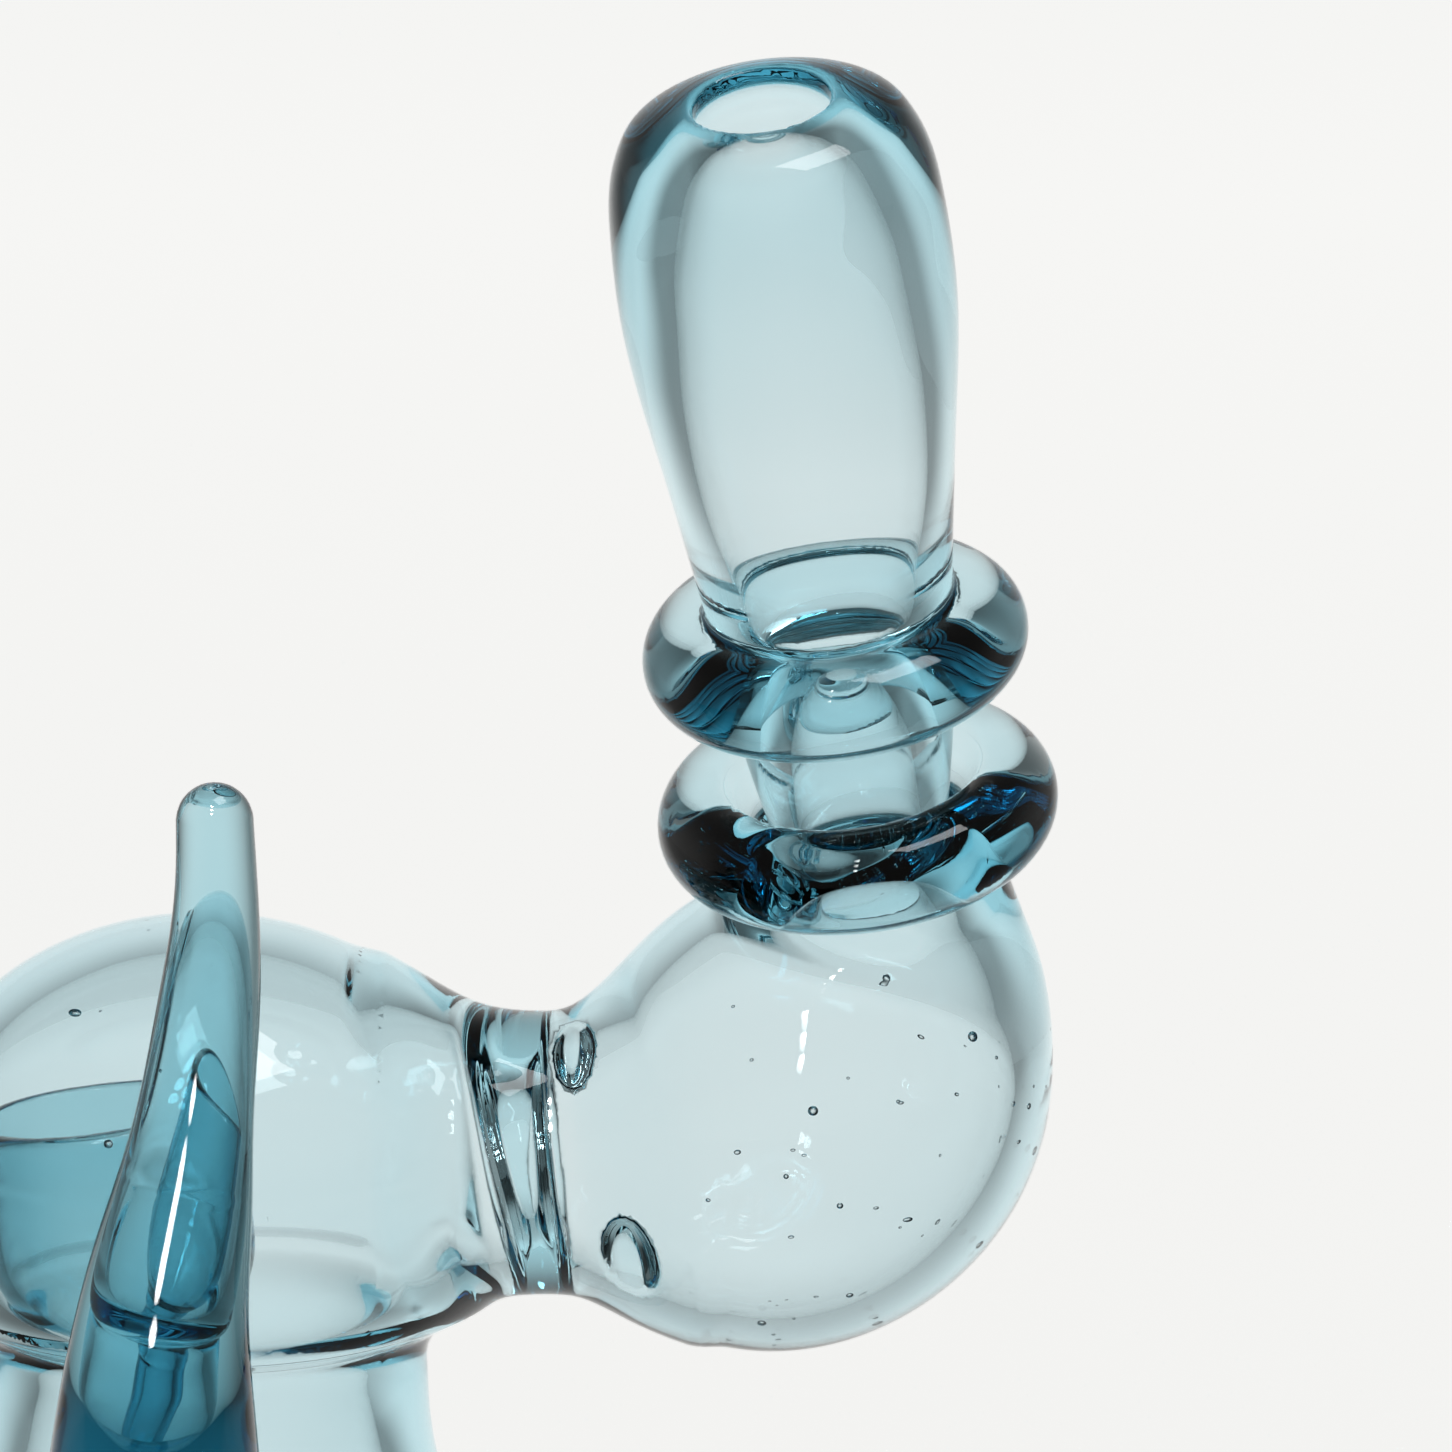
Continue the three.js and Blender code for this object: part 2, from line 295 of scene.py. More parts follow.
def make_piece(name, vertices, faces, normals, material, body, nodes, slot):
    """Adds a closed, smooth piece that rides on a CAD body and stands for CAD nodes."""
    mesh = bpy.data.meshes.new(name)
    mesh.vertices.add(len(vertices))
    mesh.vertices.foreach_set("co", (vertices * MM).astype(np.float32).ravel())
    mesh.loops.add(faces.size)
    mesh.loops.foreach_set("vertex_index", faces.ravel().astype(np.int32))
    mesh.polygons.add(len(faces))
    mesh.polygons.foreach_set("loop_start", np.arange(0, faces.size, 4, dtype=np.int32))
    mesh.polygons.foreach_set("use_smooth", np.ones(len(faces), bool))
    mesh.update(calc_edges=True)
    mesh.validate()
    mesh.normals_split_custom_set_from_vertices([tuple(n) for n in normals])
    mesh.materials.append(material)
    piece = bpy.data.objects.new(name, mesh)
    bpy.context.scene.collection.objects.link(piece)
    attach(piece, body)
    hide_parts(*nodes)


def middle(node):
    """The middle of a CAD node, in millimetres."""
    low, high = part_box(node)
    return np.array((low + high) / 2) / MM


# ---- Where things are, read from the CAD frame ----
WAIST_Z = middle("waist_tube")[2]
LEAN = np.array(frame["joints"][0]["axis"], float)
LEAN /= np.linalg.norm(LEAN)
SOCKET = middle("socket_collar")
STEM_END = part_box("stem_tube")[0].z / MM
UPRIGHT = Axis((0, 0, 0), (0, 0, 1))
ALONG = Axis((0, 0, WAIST_Z), (1, 0, 0))
LEANING = Axis(SOCKET, LEAN)
INLET = np.array((0, 0, WAIST_Z + 1.9))
INLET_OUTSIDE = np.array((20.4, 20.4, 15.1))
INLET_INSIDE = np.array((17.2, 17.2, 11.9))
INLET_MIDWALL = np.array((18.8, 18.8, 13.5))
OUTLET = np.array((43.2, 0, WAIST_Z + 3.5))
OUTLET_OUTSIDE = np.array((18.9, 17.5, 16.6))
OUTLET_INSIDE = np.array((16.3, 14.9, 14.0))
OUTLET_MIDWALL = np.array((17.6, 16.2, 15.3))
TILT = math.radians(45)
OUTLET_AXES = np.array((
    (math.cos(TILT), 0, math.sin(TILT)),
    (0, 1, 0),
    (-math.sin(TILT), 0, math.cos(TILT)),
))


# ---- Glass ----
def glass(name, look, tint, density):
    """Clear tinted glass: the colour comes from how far light travels through it."""
    material = bpy.data.materials.new(name)
    material.use_nodes = True
    nodes, links = material.node_tree.nodes, material.node_tree.links
    nodes.clear()
    out = nodes.new("ShaderNodeOutputMaterial")
    surface = nodes.new("ShaderNodeBsdfPrincipled")
    surface.inputs["Base Color"].default_value = (1, 1, 1, 1)
    surface.inputs["Transmission Weight"].default_value = 1
    surface.inputs["IOR"].default_value = look.ior
    volume = nodes.new("ShaderNodeVolumeAbsorption")
    volume.inputs["Color"].default_value = (*tint, 1)
    volume.inputs["Density"].default_value = density
    where = nodes.new("ShaderNodeTexCoord")
    waves = nodes.new("ShaderNodeTexNoise")
    waves.inputs["Scale"].default_value = 1 / look.ripple_length
    waves.inputs["Detail"].default_value = 1.5
    bump = nodes.new("ShaderNodeBump")
    bump.inputs["Strength"].default_value = 1
    bump.inputs["Distance"].default_value = look.ripple
    haze = nodes.new("ShaderNodeMapRange")
    haze.inputs["To Min"].default_value = 0
    haze.inputs["To Max"].default_value = look.haze
    links.new(where.outputs["Object"], waves.inputs["Vector"])
    links.new(waves.outputs["Fac"], bump.inputs["Height"])
    links.new(waves.outputs["Fac"], haze.inputs["Value"])
    links.new(haze.outputs["Result"], surface.inputs["Roughness"])
    links.new(bump.outputs["Normal"], surface.inputs["Normal"])
    links.new(surface.outputs["BSDF"], out.inputs["Surface"])
    links.new(volume.outputs["Volume"], out.inputs["Volume"])
    return material


# ---- Forms of the pieces, and the CAD nodes that each piece stands for ----
BODY_NODES = (
    "stem_tube", "lower_chamber", "inlet_bulb", "waist_tube", "outlet_bulb", "socket_neck", "socket_collar",
)
RISER_NODES = ("riser_tube", "riser_cup")
HORN_NODES = ("horn",)
MOUTHPIECE_NODES = ("plug", "grip_collar", "mouth_barrel", "mouth_lip")
CHAMBER_TOP = 55.9
CHAMBER = Profile([
    (-28.5, 4.6), (-14, 5.1), (-4, 5.6), (3, 7), (7, 11.4), (10, 15.2), (15.5, 18.6), (22, 19.2),
    (29.5, 17.4), (36, 16.1), (40, 15.9), (42.4, 16), (43.5, 16.8), (44.3, 18.2),
    (45.8, 19.3), (49, 20.05), (55.9, 20.38),
])
CHAMBER_HOLLOW = Profile([
    (9, 5.5), (12, 11.4), (17, 15.2), (22, 15.9), (29.5, 13.8), (36, 12.2), (40.5, 12.1), (43, 12.9),
    (45, 14.7), (47.5, 16.1), (51, 16.9), (55.9, 17.18),
])
STEM_BORE = Profile([(-40, 2.6), (12, 2.6)])
WAIST = Profile([(13, 13.6), (17.5, 11.6), (21, 10.5), (24.3, 10.2), (27, 10.4), (31, 11.8), (35, 13)])
WAIST_HOLLOW = Profile([(12, 9.8), (17.5, 8.9), (21, 8.1), (24.3, 7.7), (27, 8.1), (31, 9.4), (36, 10.8)])
WAIST_HOLE = Profile([(12, 4.6), (36, 4.6)])
NECK = Profile([(-24, 9), (-17, 11.2), (-13.5, 11.3), (-10, 10.7), (-6, 9.9), (-3.6, 9.6), (3, 9.6)])
NECK_HOLLOW = Profile([
    (-20, 7.6), (-13, 6.7), (-8.6, 6.1), (-6, 6), (-1.6, 6.6), (0.2, 7.6), (1.8, 8.5), (4, 9.2),
])
MOUTH = Profile([
    (-7.5, 5.2), (-1.2, 6.2), (3, 7), (6.6, 7.6), (10.5, 8), (14, 8.4), (20, 9.2), (30, 10.6), (40, 11.8),
    (47.5, 11.7), (50.6, 11.35), (53.4, 10.4), (55.2, 9.1), (56.6, 7.3),
])
MOUTH_HOLLOW = Profile([
    (-8, 4), (9, 4), (13, 4.3), (15.6, 5.6), (19, 6.5), (24, 7.4), (30, 8), (36, 8.2), (41, 8), (46, 7.4),
    (50, 6.3), (53.5, 5.1), (58, 4.8),
])
RISER_CUP = Profile([(0, 4.4), (2, 4.9), (4, 6.4), (6, 7.9), (8.5, 9.2), (12, 9.7), (17, 9.7), (22, 9.5)])
RISER_WELL = Profile([(-2, 2.6), (2, 3.3), (4.4, 5.4), (6.6, 7), (9, 8), (12, 8.3), (17, 8.1), (24, 7.9)])
RISER_ROUTE = Route([(0, 0, 9.4), (0, 0, 15), (-2.2, 0, 24), (-4.2, 0, 32), (-4.8, 0, 40)])
RISER_TUBE = Profile([(0, 4.4), (1, 4.4)])
RISER_BORE = Profile([(0, 2.6), (1, 2.6)])
CUP_AXIS = Axis((-4.4, 0, 37), (-3.2, 0, 22))
# The horn leaves the chamber's front, swells forward and sweeps back up to its tip.
# Its heights are from the waist.
HORN_ROUTE = Route([(x, y, z + WAIST_Z) for x, y, z in (
    (-2, -12, -33), (-2.4, -22.5, -28), (-2.6, -30, -20.5), (-2.3, -33, -12), (-1.7, -31.4, -3.6),
    (-0.5, -28.4, 3.6), (0.6, -25.9, 10.4), (1.5, -24, 17.4), (1.9, -22.8, 24), (1.8, -22, 29.6),
)])
HORN = Profile([
    (0, 7.9), (0.2, 8), (0.36, 7.6), (0.5, 6.4), (0.6, 5.4), (0.71, 4.3), (0.84, 3.5), (0.95, 2.9), (1, 2.7),
])
# Two places where the glass ran thick when the waist was joined to the outlet bulb: middle and radii.
THICK_RUNS = (
    ((31.0, -9.2, WAIST_Z - 6.0), (2.3, 3.0, 4.0)),
    ((27.2, -3.4, WAIST_Z + 8.0), (1.7, 3.0, 3.0)),
)


def tilted(p, x, lean):
    """Distance past a plane that crosses the waist's axis at x, leaning by that slope."""
    return (p[:, 0] - x + lean * (p[:, 2] - WAIST_Z)) / math.hypot(1, lean)


def outside_of_body(p):
    """The outer skin from the stem's end to the socket's collar."""
    chamber = turned(p, UPRIGHT, CHAMBER, low=STEM_END, high=CHAMBER_TOP)
    inlet = ball(p, INLET, INLET_OUTSIDE)
    waist = turned(p, ALONG, WAIST, low=13, high=35)
    outlet = ball(p, OUTLET, OUTLET_OUTSIDE, OUTLET_AXES)
    neck = turned(p, LEANING, NECK, low=-24, high=2.4, edge=1.6)
    collar = ring(p, LEANING, 0, 10.6, 3.8, 3.8)
    whole = smooth_union(chamber, inlet, 0.3)
    whole = smooth_union(whole, waist, 3.0)
    whole = smooth_union(whole, outlet, 3.0)
    whole = smooth_union(whole, smooth_union(neck, collar, 1.0), 2.5)
    return whole + sway(p, 60, 0.14, 0.4)


def hollow_of_body(p):
    """The air inside: two rooms either side of the pinched waist, and the ways in and out."""
    chamber = turned(p, UPRIGHT, CHAMBER_HOLLOW, low=10, high=CHAMBER_TOP)
    bore = turned(p, UPRIGHT, STEM_BORE, high=11)
    inlet = ball(p, INLET, INLET_INSIDE)
    waist = turned(p, ALONG, WAIST_HOLLOW, low=12, high=36)
    outlet = ball(p, OUTLET, OUTLET_INSIDE, OUTLET_AXES)
    neck = turned(p, LEANING, NECK_HOLLOW, low=-20)
    left = smooth_union(smooth_union(chamber, inlet, 0.3), bore, 0.6)
    left = smooth_union(left, smooth_overlap(waist, tilted(p, 21.3, 0.3), 1.8), 2.0)
    right = smooth_union(outlet, smooth_overlap(waist, -tilted(p, 24.9, 0.12), 1.4), 2.0)
    right = smooth_union(right, neck, 2.0)
    hole = turned(p, ALONG, WAIST_HOLE, low=17, high=29)
    whole = smooth_union(smooth_union(left, right, 0.6), hole, 2.0)
    for centre, radii in THICK_RUNS:
        whole = smooth_overlap(whole, -ball(p, centre, radii), 0.5)
    return whole + sway(p, 44, 0.16, 1.9)


def body_form(p):
    """The glass between the body's outer skin and its hollow."""
    return smooth_overlap(outside_of_body(p), -hollow_of_body(p), 0.5)


def mouth_form(p):
    """The mouthpiece: plug, grip collar, barrel and lip in one run of glass."""
    outside = turned(p, LEANING, MOUTH, low=-7, high=56.4, edge=2.4)
    outside = smooth_union(outside, ring(p, LEANING, 13.5, 10.0, 3.8, 3.6), 1.0)
    hollow = turned(p, LEANING, MOUTH_HOLLOW)
    return smooth_overlap(outside + sway(p, 44, 0.12, 2.7), -(hollow + sway(p, 38, 0.12, 0.9)), 0.8)


def riser_form(p):
    """The bent riser tube with the flared cup on its top."""
    tube = rod(p, RISER_ROUTE, RISER_TUBE)
    bore = rod(p, RISER_ROUTE, RISER_BORE)
    cup = turned(p, CUP_AXIS, RISER_CUP, low=0, high=22)
    well = turned(p, CUP_AXIS, RISER_WELL, low=-1)
    outside = smooth_union(tube, cup, 1.0)
    inside = smooth_union(bore, well, 1.0)
    return smooth_overlap(outside, -(inside + sway(p, 15, 0.2, 0.3)), 0.5)


def horn_form(p):
    """The solid horn, stopped just under the chamber's skin, where the two are fused."""
    horn = rod(p, HORN_ROUTE, HORN) + sway(p, 18, 0.12, 1.1)
    return smooth_overlap(horn, -(outside_of_body(p) + 0.35), 0.3)


# ---- Bubbles: small closed voids in the wall, whose skin faces inward ----
BUBBLE_SEED = 7


def bead(centre, radii, turn, parts=4):
    """Four-sided faces of a small ball, with normals towards its middle."""
    t = np.tan(np.linspace(-1, 1, parts + 1) * math.pi / 4)
    u, v = (a.ravel() for a in np.meshgrid(t, t, indexing="ij"))
    vertices = []
    faces = []
    for axis in range(3):
        for side in (-1, 1):
            side_points = np.zeros((len(u), 3))
            side_points[:, axis] = side
            side_points[:, (axis + 1) % 3] = u
            side_points[:, (axis + 2) % 3] = v
            start = len(vertices) * len(u)
            vertices.append(side_points / np.linalg.norm(side_points, axis=1)[:, None])
            grid = start + np.arange(len(u)).reshape(parts + 1, parts + 1)
            corners = (grid[:-1, :-1], grid[1:, :-1], grid[1:, 1:], grid[:-1, 1:])
            quad = np.stack([a.ravel() for a in corners], 1)
            faces.append(quad[:, ::-1] if side > 0 else quad)
    unit = np.concatenate(vertices)
    merged, back = np.unique(np.round(unit, 6), axis=0, return_inverse=True)
    faces = back.reshape(-1)[np.concatenate(faces)]
    radii = np.array(radii, float)
    normals = -(merged / radii)
    normals /= np.linalg.norm(normals, axis=1)[:, None]
    return centre + (merged * radii) @ turn.T, faces, normals @ turn.T


def wall_point(direction, centre, radii, axes):
    """The point of a stretched ball in a given direction from its centre."""
    local = axes @ direction
    return centre + direction / math.sqrt(((local / radii) ** 2).sum())


def seed_bubbles(count):
    """Bubbles caught in the walls of the two bulbs, drawn out along the way the glass was turned."""
    draw = np.random.default_rng(BUBBLE_SEED)
    skins = []
    for k in range(count):
        direction = draw.normal(size=3)
        direction /= np.linalg.norm(direction)
        if k % 5 == 0:
            centre = wall_point(direction, INLET, INLET_MIDWALL, np.eye(3))
            clear = direction[2] > 0.1 and direction[0] < 0.3
        else:
            centre = wall_point(direction, OUTLET, OUTLET_MIDWALL, OUTLET_AXES)
            clear = direction @ LEAN < 0.5 and direction[0] > -0.5
        size = 0.12 + 0.28 * draw.random() ** 3
        stretch = 1 + 1.1 * draw.random() ** 2
        if clear:
            along = np.cross(direction, (0, 0, 1))
            turn = np.stack([along, np.cross(direction, along), direction], 1)
            turn /= np.linalg.norm(turn, axis=0)
            skins.append(bead(centre, (size * stretch, size, size), turn))
    return skins


def joined(skins):
    """Several skins as one."""
    vertices = []
    faces = []
    normals = []
    start = 0
    for v, f, n in skins:
        vertices.append(v)
        faces.append(f + start)
        normals.append(n)
        start += len(v)
    return np.concatenate(vertices), np.concatenate(faces), np.concatenate(normals)


# ---- Settings ----
class AirlockGlass(bpy.types.PropertyGroup):
    """What the glass is like."""

    ior: bpy.props.FloatProperty(
        name="Refraction", description="Index of refraction of the glass", default=1.47, min=1.3, max=1.7
    )
    haze: bpy.props.FloatProperty(
        name="Haze", description="Roughness where the skin is dullest", default=0.02, min=0, max=0.3
    )
    ripple: bpy.props.FloatProperty(
        name="Ripple", description="Depth of the skin's waver", default=0.00003, unit="LENGTH"
    )
    ripple_length: bpy.props.FloatProperty(
        name="Ripple length", description="Length of the skin's waver", default=0.012, unit="LENGTH"
    )
    pale: bpy.props.FloatVectorProperty(
        name="Pale glass", description="Tint of the pale blue glass", default=(0.06, 0.72, 0.86),
        subtype="COLOR",
    )
    pale_density: bpy.props.FloatProperty(
        name="Pale density", description="How strongly the pale glass tints, per metre", default=49
    )
    teal: bpy.props.FloatVectorProperty(
        name="Teal glass", description="Tint of the teal glass", default=(0.05, 0.66, 0.78),
        subtype="COLOR",
    )
    teal_density: bpy.props.FloatProperty(
        name="Teal density", description="How strongly the horn's glass tints, per metre", default=125
    )
    cup_density: bpy.props.FloatProperty(
        name="Cup density", description="How strongly the riser's glass tints, per metre", default=360
    )


class AirlockShape(bpy.types.PropertyGroup):
    """How the body is made."""

    cell: bpy.props.FloatProperty(
        name="Cell", description="Size of the body's faces", default=0.0006, unit="LENGTH"
    )
    bubbles: bpy.props.IntProperty(
        name="Bubbles", description="How many seed bubbles to try", default=110, min=0
    )


class AirlockStage(bpy.types.PropertyGroup):
    """The floor, the light and the view."""

    floor: bpy.props.FloatProperty(
        name="Floor", description="Brightness of the pale floor", default=0.755, min=0
    )
    fan_start: bpy.props.FloatProperty(
        name="Fan start", description="How far in front of the stem the fan of light starts", default=0.15,
        unit="LENGTH",
    )
    fan_inner: bpy.props.FloatProperty(
        name="Fan inner", description="Half width per length where the fan starts to fade", default=0.15
    )
    fan_outer: bpy.props.FloatProperty(
        name="Fan outer", description="Half width per length where the fan has faded", default=0.95
    )
    bright_from: bpy.props.FloatProperty(
        name="Bright from", description="How far behind the stem the floor is at its brightest", default=0.2,
        unit="LENGTH",
    )
    beyond: bpy.props.FloatProperty(
        name="Beyond", description="Brightness beside the fan, as a share", default=0.33
    )
    # Painted shade: the share of the floor's painted glow that is left by the stem.
    near: bpy.props.FloatProperty(
        name="Near", description="Brightness of the floor by the stem, as a share", default=0.48
    )
    behind: bpy.props.FloatProperty(
        name="Behind", description="Brightness of the backdrop", default=0.8
    )
    front: bpy.props.FloatProperty(
        name="Front", description="Brightness of the room in front", default=0.11
    )
    softbox_power: bpy.props.FloatProperty(
        name="Softbox", description="Power of the softbox above", default=3.4, unit="POWER"
    )
    strip_power: bpy.props.FloatProperty(
        name="Strips", description="Power of each strip that lights the horn", default=0.003, unit="POWER"
    )
    elevation: bpy.props.FloatProperty(
        name="Elevation", description="How far the view looks down", default=math.radians(13), subtype="ANGLE"
    )
    distance: bpy.props.FloatProperty(
        name="Distance", description="How far away the camera is", default=1.0, unit="LENGTH"
    )
    width: bpy.props.FloatProperty(
        name="Width", description="Width of what the camera sees", default=0.1037, unit="LENGTH"
    )


# ---- Pieces ----
RISER_CELL = 0.45  # sizes of the faces of the smaller pieces, in millimetres
FINE_CELL = 0.5


class AIRLOCK_OT_body(bpy.types.Operator):
    """Blown body: stem, lower chamber, inlet bulb, waist, outlet bulb, neck and socket collar"""

    bl_idname = "airlock.body"
    bl_label = "Body"

    def execute(self, context):
        look = context.scene.airlock_glass
        shape = context.scene.airlock_shape
        material = glass("pale_glass_body", look, look.pale, look.pale_density)
        skin = wrap(body_form, (-23, -24, STEM_END - 1), (65, 22, 88), shape.cell / MM)
        skin = joined([skin, *seed_bubbles(shape.bubbles)])
        make_piece("body_glass", *skin, material, "body", BODY_NODES, "pale_glass")
        return {"FINISHED"}


class AIRLOCK_OT_riser(bpy.types.Operator):
    """Riser tube inside the lower chamber, with the cup on its top"""

    bl_idname = "airlock.riser"
    bl_label = "Riser"

    def execute(self, context):
        look = context.scene.airlock_glass
        material = glass("teal_glass_riser", look, look.teal, look.cup_density)
        skin = wrap(riser_form, (-18, -12, 3), (8, 12, 60), RISER_CELL)
        make_piece("riser_glass", *skin, material, "body", RISER_NODES, "teal_glass")
        return {"FINISHED"}


class AIRLOCK_OT_horn(bpy.types.Operator):
    """Solid horn at the front of the lower chamber"""

    bl_idname = "airlock.horn"
    bl_label = "Horn"

    def execute(self, context):
        look = context.scene.airlock_glass
        material = glass("teal_glass_horn", look, look.teal, look.teal_density)
        skin = wrap(horn_form, (-14, -44, 8), (8, -8, 90), FINE_CELL)
        make_piece("horn_glass", *skin, material, "body", HORN_NODES, "teal_glass")
        return {"FINISHED"}


class AIRLOCK_OT_mouthpiece(bpy.types.Operator):
    """Removable mouthpiece: plug, grip collar, barrel and lip"""

    bl_idname = "airlock.mouthpiece"
    bl_label = "Mouthpiece"

    def execute(self, context):
        look = context.scene.airlock_glass
        material = glass("pale_glass_mouth", look, look.pale, look.pale_density)
        skin = wrap(mouth_form, (22, -38, 72), (64, 12, 142), FINE_CELL)
        make_piece("mouthpiece_glass", *skin, material, "mouthpiece", MOUTHPIECE_NODES, "pale_glass")
        return {"FINISHED"}


# ---- Stage: a pale floor with a painted glow, and a backdrop, both brightest in a fan behind the glass ----
FAN_MIDDLE = 0.0376
LEAST_AHEAD = 0.05
NEAR_UNTIL = -0.02  # painted shade: the floor's glow is dim by the stem up to here, and brighter behind it
FRONT_EDGE = (-0.12, -0.01)  # between these the floor in front of the stem gets still dimmer, as painted shade
FRONT_PAINTED_SHADE_SHARE = 0.15
RISE = (0.1, 0.8)  # between these the floor's painted glow rises to the backdrop's brightness
RISE_SHARES = (0.91, 1.05)
TOP_EDGE = (0.15, 0.85)  # how high up the backdrop fades out
BACK_EDGE = (-0.2, 0.3)  # how far round to the back it fades in
FLOOR_HALF = 6
FLOOR_GAP = 0.0002
PALE = (1, 1, 0.985, 1)
FLOOR_TONE = (0.5, 0.5, 0.49)
SOFTBOX_PLACE = Vector((0.25, -0.2, 1.02))
SOFTBOX_AIM = Vector((0.03, 0, 0.06))
SOFTBOX_SIZE = (0.48, 0.42)
HORN_FACE = Vector((-0.001, -0.028, WAIST_Z * MM + 0.004))
STRIP_LIFTS = (35, 46, 57)
STRIP_DISTANCE = 0.33
STRIP_ASIDE = -0.03
STRIP_SIZE = (0.06, 0.068)
STRIP_SPREAD = math.radians(10)
VIEW_MIDDLE = 0.03757
VIEW_RISE = 0.0306
SENSOR = 36


class Wiring:
    """Adds nodes to a node tree and wires them up. A value is a number or a socket."""

    def __init__(self, tree):
        self.nodes = tree.nodes
        self.links = tree.links

    def feed(self, socket, value):
        """Gives a socket a number, or a link from another socket."""
        if isinstance(value, (int, float)):
            socket.default_value = value
        else:
            self.links.new(value, socket)

    def calculate(self, operation, *values):
        """The result of a sum on one or two values."""
        node = self.nodes.new("ShaderNodeMath")
        node.operation = operation
        for socket, value in zip(node.inputs, values):
            self.feed(socket, value)
        return node.outputs["Value"]

    def fade(self, value, start, end, first=0, last=1, kind="SMOOTHSTEP"):
        """Goes from first to last as a value goes from start to end."""
        node = self.nodes.new("ShaderNodeMapRange")
        node.interpolation_type = kind
        for name, number in (("From Min", start), ("From Max", end), ("To Min", first), ("To Max", last)):
            node.inputs[name].default_value = number
        self.links.new(value, node.inputs["Value"])
        return node.outputs["Result"]

    def split(self, coordinates):
        """The X, Y and Z of a place or a direction."""
        where = self.nodes.new("ShaderNodeTexCoord")
        node = self.nodes.new("ShaderNodeSeparateXYZ")
        self.links.new(where.outputs[coordinates], node.inputs["Vector"])
        return node.outputs

    def looked_at(self):
        """1 where the camera looks straight at something, 0 where glass or a lamp does."""
        return self.nodes.new("ShaderNodeLightPath").outputs["Is Camera Ray"]

    def fan(self, stage, aside, ahead):
        """How bright the fan is, from how far something lies aside and ahead."""
        away = self.calculate("ABSOLUTE", aside)
        share = self.calculate("DIVIDE", away, self.calculate("MAXIMUM", ahead, LEAST_AHEAD))
        return self.fade(share, stage.fan_inner, stage.fan_outer, 1, stage.beyond)


def floor_painted_glow_material(stage):
    """Pale matt floor, as plain to the eye as paper, with a painted glow in a fan behind the glass and
    painted shade by the stem and in front of it.
    """
    material = bpy.data.materials.new("pale_floor_painted_glow")
    material.use_nodes = True
    shader = material.node_tree.nodes["Principled BSDF"]
    shader.inputs["Roughness"].default_value = 0.9
    shader.inputs["Specular IOR Level"].default_value = 0
    shader.inputs["Emission Color"].default_value = PALE
    wiring = Wiring(material.node_tree)
    x, y, _ = wiring.split("Object")
    # Painted glow: a fan of light on the floor behind the glass, with painted shade by the stem and in front
    # of it.
    aside = wiring.calculate("SUBTRACT", x, FAN_MIDDLE)
    across = wiring.fan(stage, aside, wiring.calculate("ADD", y, stage.fan_start))
    along = wiring.fade(y, NEAR_UNTIL, stage.bright_from, stage.near, 1)
    before = wiring.fade(y, *FRONT_EDGE, FRONT_PAINTED_SHADE_SHARE, 1)
    glow = wiring.calculate("MULTIPLY", across, wiring.calculate("MULTIPLY", along, before))
    # Where the camera looks straight at the floor, the painted glow and painted shade are left out, so the
    # floor looks plain.
    painted_glow_seen = wiring.calculate("MAXIMUM", glow, wiring.looked_at())
    low, high = (stage.floor * share for share in RISE_SHARES)
    rise = wiring.fade(y, *RISE, low, high, kind="LINEAR")
    wiring.feed(shader.inputs["Emission Strength"], wiring.calculate("MULTIPLY", painted_glow_seen, rise))
    # Painted shade: the floor's colour is darkened where its painted glow is dim, except where the camera
    # looks straight at it.
    tone_with_painted_shade = wiring.nodes.new("ShaderNodeVectorMath")
    tone_with_painted_shade.operation = "SCALE"
    tone_with_painted_shade.inputs[0].default_value = FLOOR_TONE
    wiring.feed(tone_with_painted_shade.inputs["Scale"], painted_glow_seen)
    wiring.feed(shader.inputs["Base Color"], tone_with_painted_shade.outputs["Vector"])
    return material


def add_floor(scene, stage):
    """A wide flat floor just under the stem's end."""
    z = START[0].z - FLOOR_GAP
    corners = [(x * FLOOR_HALF, y * FLOOR_HALF, z) for x, y in ((-1, -1), (1, -1), (1, 1), (-1, 1))]
    mesh = bpy.data.meshes.new("floor")
    mesh.from_pydata(corners, [], [(0, 1, 2, 3)])
    mesh.materials.append(floor_painted_glow_material(stage))
    floor = bpy.data.objects.new("floor", mesh)
    scene.collection.objects.link(floor)


def add_backdrop(scene, stage):
    """A studio that is bright behind the glass and dim at its sides, above and in front."""
    world = bpy.data.worlds.new("studio")
    scene.world = world
    world.use_nodes = True
    world.node_tree.nodes.clear()
    wiring = Wiring(world.node_tree)
    out = wiring.nodes.new("ShaderNodeOutputWorld")
    back = wiring.nodes.new("ShaderNodeBackground")
    back.inputs["Color"].default_value = PALE
    x, y, z = wiring.split("Generated")
    across = wiring.fan(stage, x, y)
    upward = wiring.fade(z, *TOP_EDGE, 1, 0)
    backward = wiring.fade(y, *BACK_EDGE)
    glow = wiring.calculate("MULTIPLY", wiring.calculate("MULTIPLY", across, upward), backward)
    strength = wiring.fade(glow, 0, 1, stage.front, stage.behind, kind="LINEAR")
    plain = wiring.calculate("MULTIPLY", wiring.looked_at(), stage.behind)
    wiring.feed(back.inputs["Strength"], wiring.calculate("MAXIMUM", strength, plain))
    wiring.feed(out.inputs["Surface"], back.outputs["Background"])


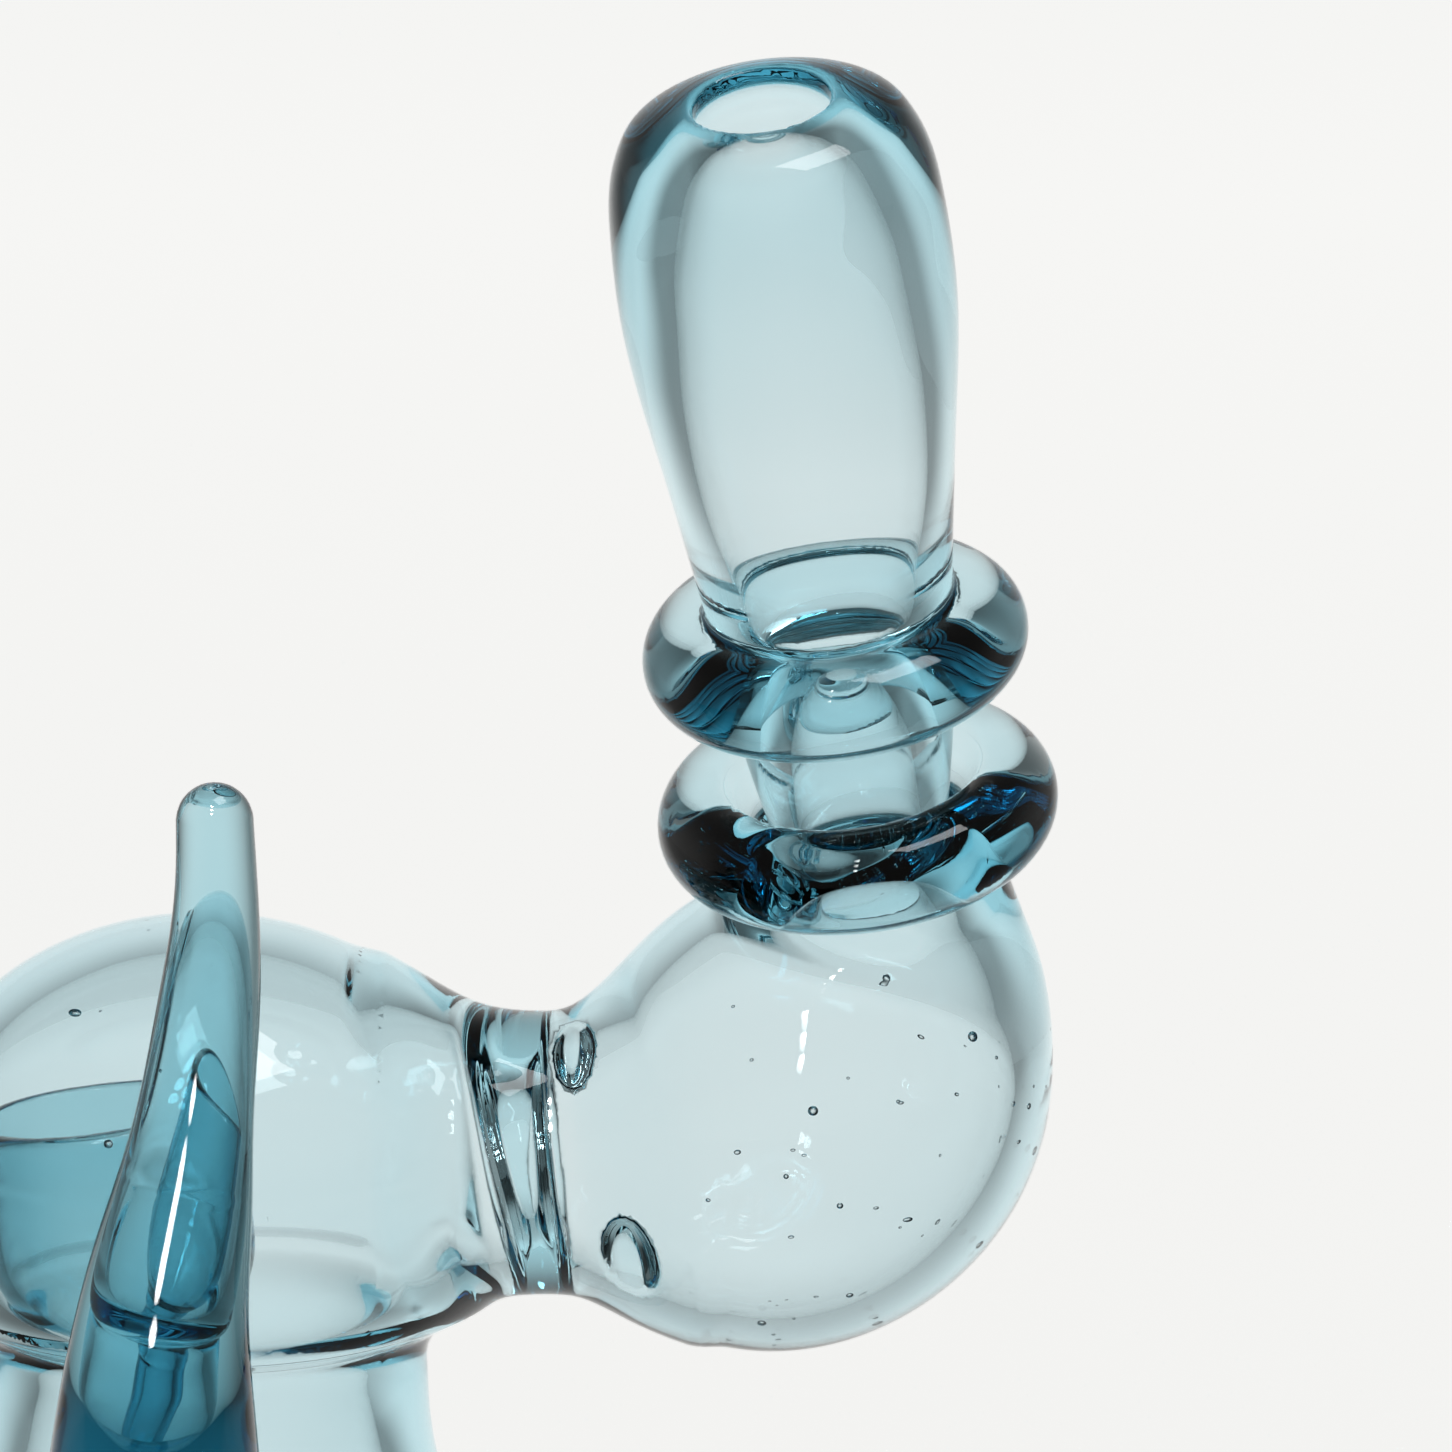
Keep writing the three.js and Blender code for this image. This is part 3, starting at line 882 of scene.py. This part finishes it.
def add_lamp(scene, name, place, aim, size, power, spread=math.pi):
    """A rectangular lamp that faces a point."""
    light = bpy.data.lights.new(name, "AREA")
    light.shape = "RECTANGLE"
    light.size, light.size_y = size
    light.energy = power
    light.spread = spread
    lamp = bpy.data.objects.new(name, light)
    lamp.location = place
    lamp.rotation_mode = "QUATERNION"
    lamp.rotation_quaternion = (aim - place).to_track_quat("-Z", "Y")
    scene.collection.objects.link(lamp)


def add_lamps(scene, stage):
    """A softbox overhead, and strips, one above the other, that draw a streak down the horn."""
    add_lamp(scene, "softbox", SOFTBOX_PLACE, SOFTBOX_AIM, SOFTBOX_SIZE, stage.softbox_power)
    for k, degrees in enumerate(STRIP_LIFTS):
        lift = math.radians(degrees)
        away = Vector((STRIP_ASIDE, -math.cos(lift) * STRIP_DISTANCE, math.sin(lift) * STRIP_DISTANCE))
        place = HORN_FACE + away
        add_lamp(scene, f"strip_{k}", place, HORN_FACE, STRIP_SIZE, stage.strip_power, STRIP_SPREAD)


def add_camera(scene, stage):
    """The camera, looking down a little from in front."""
    camera = bpy.data.cameras.new("camera")
    camera.sensor_width = SENSOR
    camera.lens = SENSOR * stage.distance / stage.width
    camera.dof.use_dof = False
    camera.clip_start = 0.01
    camera.clip_end = 50
    back_off = Vector((0, -math.cos(stage.elevation), math.sin(stage.elevation)))
    aim = Vector((VIEW_MIDDLE, 0, WAIST_Z * MM + VIEW_RISE / math.cos(stage.elevation)))
    eye = bpy.data.objects.new("camera", camera)
    eye.location = aim + back_off * stage.distance
    eye.rotation_mode = "QUATERNION"
    eye.rotation_quaternion = (-back_off).to_track_quat("-Z", "Y")
    scene.collection.objects.link(eye)
    scene.camera = eye


def let_light_through(scene):
    """Enough bounces for light to find its way through several walls of glass, and true colours."""
    scene.view_settings.view_transform = "Standard"
    scene.view_settings.look = "None"
    scene.cycles.max_bounces = 32
    scene.cycles.transmission_bounces = 32
    scene.cycles.glossy_bounces = 8
    scene.cycles.diffuse_bounces = 3
    scene.cycles.transparent_max_bounces = 16
    scene.cycles.volume_bounces = 0


class AIRLOCK_OT_stage(bpy.types.Operator):
    """Pale floor, soft light and camera"""

    bl_idname = "airlock.stage"
    bl_label = "Stage"

    def execute(self, context):
        scene = context.scene
        stage = scene.airlock_stage
        add_floor(scene, stage)
        add_backdrop(scene, stage)
        add_lamps(scene, stage)
        add_camera(scene, stage)
        let_light_through(scene)
        return {"FINISHED"}


# ---- Panel, and the run from start to end ----
ORDER = ("airlock.body", "airlock.riser", "airlock.horn", "airlock.mouthpiece", "airlock.stage")


class AIRLOCK_PT_build(bpy.types.Panel):
    """Lists the operators in the order in which the airlock is built"""

    bl_label = "Glass Airlock"
    bl_idname = "AIRLOCK_PT_build"
    bl_space_type = "VIEW_3D"
    bl_region_type = "UI"
    bl_category = "Airlock"

    def draw(self, context):
        for name in ORDER:
            self.layout.operator(name)


CLASSES = (
    AirlockGlass,
    AirlockShape,
    AirlockStage,
    AIRLOCK_OT_body,
    AIRLOCK_OT_riser,
    AIRLOCK_OT_horn,
    AIRLOCK_OT_mouthpiece,
    AIRLOCK_OT_stage,
    AIRLOCK_PT_build,
)


def register():
    """Registers the classes and hangs the settings on the scene."""
    for cls in CLASSES:
        bpy.utils.register_class(cls)
    bpy.types.Scene.airlock_glass = bpy.props.PointerProperty(type=AirlockGlass)
    bpy.types.Scene.airlock_shape = bpy.props.PointerProperty(type=AirlockShape)
    bpy.types.Scene.airlock_stage = bpy.props.PointerProperty(type=AirlockStage)


def unregister():
    """Takes the settings and the classes away again."""
    del bpy.types.Scene.airlock_stage
    del bpy.types.Scene.airlock_shape
    del bpy.types.Scene.airlock_glass
    for cls in reversed(CLASSES):
        bpy.utils.unregister_class(cls)


def main():
    """Builds every piece and the stage."""
    register()
    bpy.ops.airlock.body()
    bpy.ops.airlock.riser()
    bpy.ops.airlock.horn()
    bpy.ops.airlock.mouthpiece()
    bpy.ops.airlock.stage()


if __name__ == "__main__":
    main()
